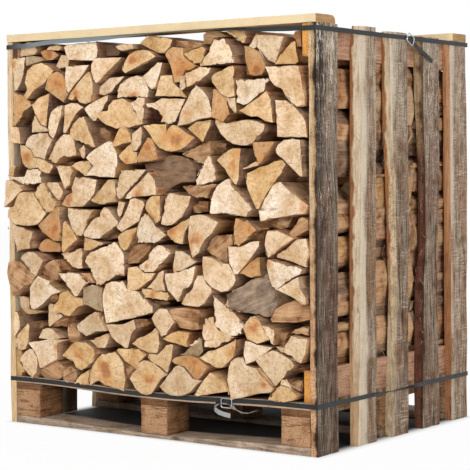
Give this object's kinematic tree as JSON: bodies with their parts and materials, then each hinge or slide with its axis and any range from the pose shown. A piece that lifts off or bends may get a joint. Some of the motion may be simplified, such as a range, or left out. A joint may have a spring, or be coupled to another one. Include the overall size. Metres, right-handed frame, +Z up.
{
  "type": "crate of firewood",
  "caption": "Stacked split firewood on a four-way pallet between waney-edged slatted sides, closed with flat top rails and tied round with plastic bands.",
  "frame": {"origin": "middle of the crate's footprint, on the floor, on the underside of the middle skid", "axes": "+Z up; X along the front, which shows the splits' ends, +X to the right; +Y from the front to the back"},
  "size_m": [1.066, 0.8763, 1.1113],
  "materials": {
    "pallet_wood": "rough sawn",
    "weathered_board": "rough sawn, weathered",
    "fresh_board": "fresh sawn",
    "split_hardwood": "split and cross-cut, bark on",
    "band_plastic": "embossed, satin",
    "buckle_wire": "galvanised"
  },
  "bodies": {
    "root": {"block_front_left": "pallet_wood", "block_front_centre": "pallet_wood", "block_front_right": "pallet_wood", "block_middle_left": "pallet_wood", "block_middle_centre": "pallet_wood", "block_middle_right": "pallet_wood", "block_back_left": "pallet_wood", "block_back_centre": "pallet_wood", "block_back_right": "pallet_wood", "stringer_left": "pallet_wood", "stringer_centre": "pallet_wood", "stringer_right": "pallet_wood", "skid_front": "weathered_board", "skid_middle": "weathered_board", "skid_back": "weathered_board", "deck_board_1": "weathered_board", "deck_board_2": "weathered_board", "deck_board_3": "weathered_board", "deck_board_4": "weathered_board", "deck_board_5": "weathered_board", "slat_left_1": "weathered_board", "slat_left_2": "weathered_board", "slat_left_3": "weathered_board", "slat_left_4": "weathered_board", "slat_left_5": "weathered_board", "slat_right_1": "weathered_board", "slat_right_2": "weathered_board", "slat_right_3": "weathered_board", "slat_right_4": "weathered_board", "slat_right_5": "weathered_board", "side_rail_left_top": "weathered_board", "side_rail_left_bottom": "weathered_board", "side_rail_right_top": "weathered_board", "side_rail_right_bottom": "weathered_board", "top_rail_front": "fresh_board", "top_rail_back": "fresh_board", "firewood_row_front": "split_hardwood", "firewood_row_middle": "split_hardwood", "firewood_row_back": "split_hardwood", "strap_top": "band_plastic", "strap_bottom": "band_plastic", "buckle_top": "buckle_wire", "buckle_bottom": "buckle_wire"}
  },
  "joints": []
}
